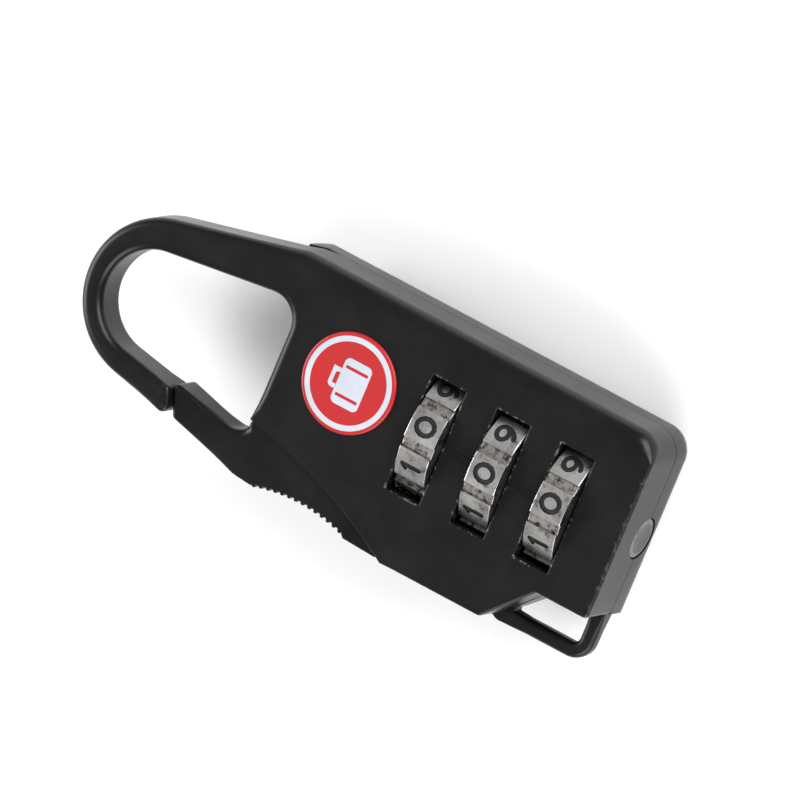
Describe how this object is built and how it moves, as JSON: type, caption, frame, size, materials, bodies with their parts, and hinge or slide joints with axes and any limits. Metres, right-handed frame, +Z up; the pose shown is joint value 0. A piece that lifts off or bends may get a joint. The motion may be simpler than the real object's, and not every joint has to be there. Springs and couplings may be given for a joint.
{
  "type": "luggage padlock",
  "caption": "Small combination padlock with a carabiner hook, a spring gate with a ribbed thumb rest, digit dials, a reset button and a lanyard loop.",
  "frame": {"origin": "middle of the whole lock's base, under it as it lies on its back", "axes": "+X along the lock towards the reset button, +Y towards the spine, +Z up through the front face"},
  "size_m": [0.0662, 0.0266, 0.015],
  "materials": {
    "body_paint": "satin black paint over die-cast zinc",
    "gate_paint": "satin black paint over die-cast zinc",
    "dial_metal": "worn nickel plating, black filled digits",
    "brass": "plain brass",
    "steel": "plain steel",
    "spring_steel": "spring steel wire and strip",
    "button_paint": "painted steel, worn at the rim",
    "badge_print": "glossy red badge with a pale ring and picture",
    "screw_steel": "blackened steel"
  },
  "bodies": {
    "body": {"front_shell": "body_paint", "back_shell": "body_paint", "gate_pin": "steel", "badge": "badge_print", "shell_screws": "screw_steel", "gate_return_spring": "spring_steel", "reset_spring": "spring_steel", "detent_spring_1": "spring_steel", "detent_spring_2": "spring_steel", "detent_spring_3": "spring_steel"},
    "gate": {"gate": "gate_paint"},
    "locking_bar": {"locking_bar": "brass"},
    "spindle": {"spindle": "button_paint", "retaining_clip": "steel"},
    "dial_1": {"dial_1": "dial_metal"},
    "dial_2": {"dial_2": "dial_metal"},
    "dial_3": {"dial_3": "dial_metal"},
    "sleeve_1": {"sleeve_1": "brass"},
    "sleeve_2": {"sleeve_2": "brass"},
    "sleeve_3": {"sleeve_3": "brass"}
  },
  "joints": [
    {"name": "gate_hinge", "type": "hinge", "parent": "body", "child": "gate", "pos_m": [0.01107, -0.00983, 0.0075], "axis": [0, 0, -1], "range_deg": [0, 15], "stiffness_Nm_per_rad": 0.02, "springref_deg": -5.73},
    {"name": "locking_bar_slide", "type": "slide", "parent": "body", "child": "locking_bar", "axis": [0, 1, 0], "range_m": [0, 0.0012], "deforming": ["gate_return_spring"]},
    {"name": "reset_slide", "type": "slide", "parent": "body", "child": "spindle", "axis": [-1, 0, 0], "range_m": [0, 0.0015], "stiffness_N_per_m": 600, "springref_m": -0.0015, "deforming": ["reset_spring"]},
    {"name": "dial_1_turn", "type": "hinge", "parent": "body", "child": "dial_1", "pos_m": [0.00907, 0.00168, 0.0075], "axis": [1, 0, 0], "continuous": true, "deforming": ["detent_spring_1"]},
    {"name": "dial_2_turn", "type": "hinge", "parent": "body", "child": "dial_2", "pos_m": [0.01707, 0.00168, 0.0075], "axis": [1, 0, 0], "continuous": true, "deforming": ["detent_spring_2"]},
    {"name": "dial_3_turn", "type": "hinge", "parent": "body", "child": "dial_3", "pos_m": [0.02508, 0.00168, 0.0075], "axis": [1, 0, 0], "continuous": true, "deforming": ["detent_spring_3"]},
    {"name": "sleeve_1_turn", "type": "hinge", "parent": "spindle", "child": "sleeve_1", "pos_m": [0.00907, 0.00168, 0.0075], "axis": [1, 0, 0], "continuous": true},
    {"name": "sleeve_2_turn", "type": "hinge", "parent": "spindle", "child": "sleeve_2", "pos_m": [0.01707, 0.00168, 0.0075], "axis": [1, 0, 0], "continuous": true},
    {"name": "sleeve_3_turn", "type": "hinge", "parent": "spindle", "child": "sleeve_3", "pos_m": [0.02508, 0.00168, 0.0075], "axis": [1, 0, 0], "continuous": true}
  ],
  "couplings": [
    {"joint": "locking_bar_slide", "follows": "gate_hinge", "m_per_rad": 0.0045},
    {"joint": "sleeve_1_turn", "follows": "dial_1_turn", "ratio": 1},
    {"joint": "sleeve_2_turn", "follows": "dial_2_turn", "ratio": 1},
    {"joint": "sleeve_3_turn", "follows": "dial_3_turn", "ratio": 1}
  ]
}
